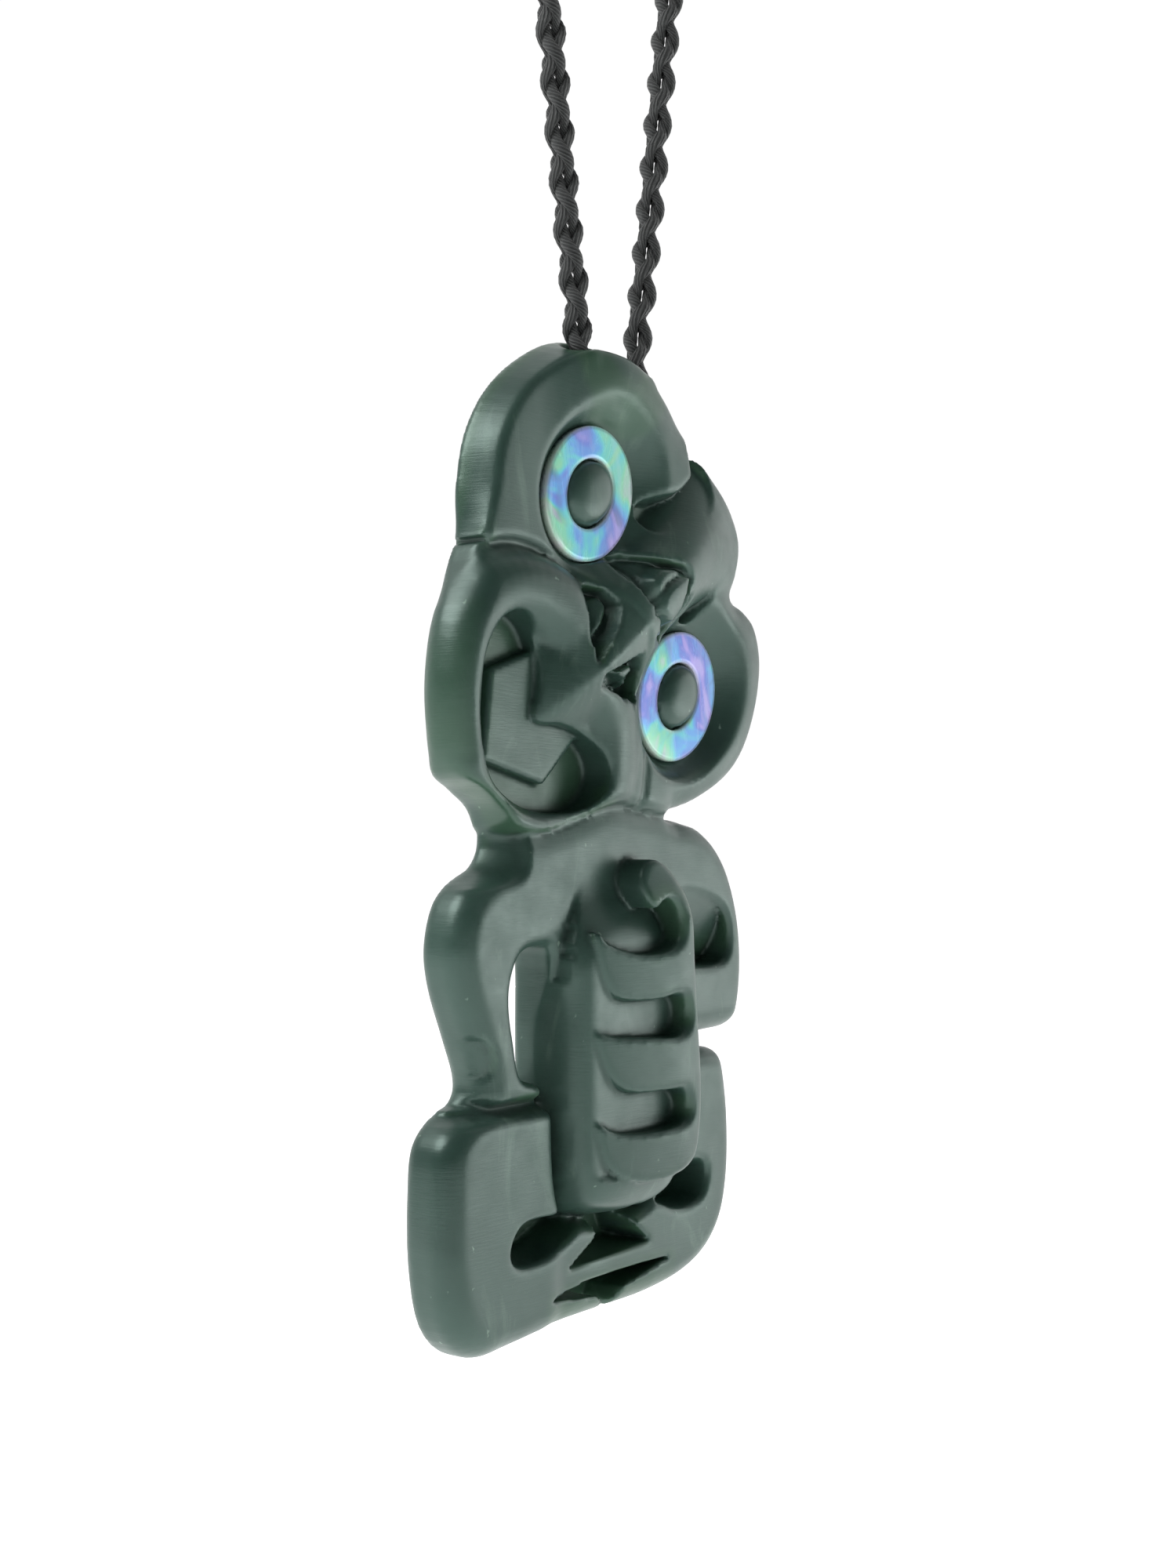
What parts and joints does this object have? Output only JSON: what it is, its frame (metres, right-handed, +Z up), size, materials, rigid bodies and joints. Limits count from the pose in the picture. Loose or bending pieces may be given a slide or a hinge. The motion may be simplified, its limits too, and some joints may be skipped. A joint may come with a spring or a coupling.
{
  "type": "hei tiki pendant",
  "caption": "Hei tiki pendant: flat carved stone figure with a tilted head and inlaid shell eye rings, hung on a long plaited cord loop.",
  "frame": {"origin": "middle of the cord loop's underside at its top, where it rests on the back of the neck", "axes": "+Z up from the hanging figure to the neck, the figure faces -Y, +X to the viewer's right of the figure's front"},
  "size_m": [0.091, 0.0114, 0.4009],
  "materials": {
    "nephrite": "satin",
    "paua_shell": "gloss",
    "waxed_cord": "satin"
  },
  "bodies": {
    "root": {"carved_stone": "nephrite", "upper_eye_ring": "paua_shell", "lower_eye_ring": "paua_shell", "cord_left": "waxed_cord", "cord_right": "waxed_cord", "cord_join": "waxed_cord"}
  },
  "joints": []
}
